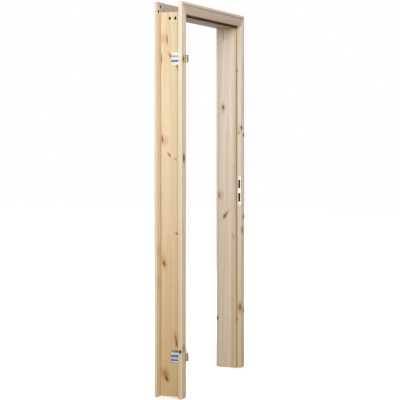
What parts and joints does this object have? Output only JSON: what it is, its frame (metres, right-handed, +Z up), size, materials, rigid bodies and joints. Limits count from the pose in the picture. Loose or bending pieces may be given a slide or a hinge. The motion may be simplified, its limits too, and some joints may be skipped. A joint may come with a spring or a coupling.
{
  "type": "door frame",
  "caption": "Adjustable wooden door frame: rebated lining with mitred casings on both sides, lift-off hinge halves and a strike plate.",
  "frame": {"origin": "on the floor, under the middle of the whole frame with its hinge knuckles", "axes": "+X from the hinge jamb to the strike jamb, +Y from the door side to the rear, +Z up the jambs"},
  "size_m": [0.977, 0.1704, 2.06],
  "materials": {
    "pine": "bare planed softwood",
    "seal": "matt brown seal",
    "galvanised": "galvanised",
    "zinc_screw": "zinc plated",
    "dark_zinc": "dark matt",
    "strike_steel": "satin"
  },
  "bodies": {
    "lining": {"lining_hinge_side": "pine", "lining_strike_side": "pine", "lining_head": "pine", "front_casing_hinge_side": "pine", "front_casing_strike_side": "pine", "front_casing_head": "pine", "seal_hinge_side": "seal", "seal_strike_side": "seal", "seal_head": "seal", "corner_screw_hinge_side_1": "zinc_screw", "corner_screw_hinge_side_2": "zinc_screw", "corner_screw_strike_side_1": "zinc_screw", "corner_screw_strike_side_2": "zinc_screw", "mitre_drum_front_hinge_side_head": "dark_zinc", "mitre_drum_front_hinge_side_jamb": "dark_zinc", "mitre_drum_front_strike_side_head": "dark_zinc", "mitre_drum_front_strike_side_jamb": "dark_zinc", "mitre_bolt_front_hinge_side": "zinc_screw", "mitre_bolt_front_strike_side": "zinc_screw", "hinge_upper_knuckle": "galvanised", "hinge_upper_pin": "galvanised", "hinge_upper_receiver": "galvanised", "hinge_upper_backing_plate": "galvanised", "hinge_upper_clamp_screw_1": "zinc_screw", "hinge_upper_clamp_screw_2": "zinc_screw", "hinge_upper_fixing_screw_1": "zinc_screw", "hinge_upper_fixing_screw_2": "zinc_screw", "hinge_upper_fixing_screw_3": "zinc_screw", "hinge_upper_fixing_screw_4": "zinc_screw", "hinge_lower_knuckle": "galvanised", "hinge_lower_pin": "galvanised", "hinge_lower_receiver": "galvanised", "hinge_lower_backing_plate": "galvanised", "hinge_lower_clamp_screw_1": "zinc_screw", "hinge_lower_clamp_screw_2": "zinc_screw", "hinge_lower_fixing_screw_1": "zinc_screw", "hinge_lower_fixing_screw_2": "zinc_screw", "hinge_lower_fixing_screw_3": "zinc_screw", "hinge_lower_fixing_screw_4": "zinc_screw", "strike_plate": "strike_steel", "strike_screw_1": "zinc_screw", "strike_screw_2": "zinc_screw"},
    "rear_casing": {"rear_casing_hinge_side": "pine", "rear_casing_strike_side": "pine", "rear_casing_head": "pine", "mitre_drum_rear_hinge_side_head": "dark_zinc", "mitre_drum_rear_hinge_side_jamb": "dark_zinc", "mitre_drum_rear_strike_side_head": "dark_zinc", "mitre_drum_rear_strike_side_jamb": "dark_zinc", "mitre_bolt_rear_hinge_side": "zinc_screw", "mitre_bolt_rear_strike_side": "zinc_screw"}
  },
  "joints": [
    {"name": "wall_thickness_slide", "type": "slide", "parent": "lining", "child": "rear_casing", "axis": [0, 1, 0], "range_m": [0, 0.02]}
  ]
}
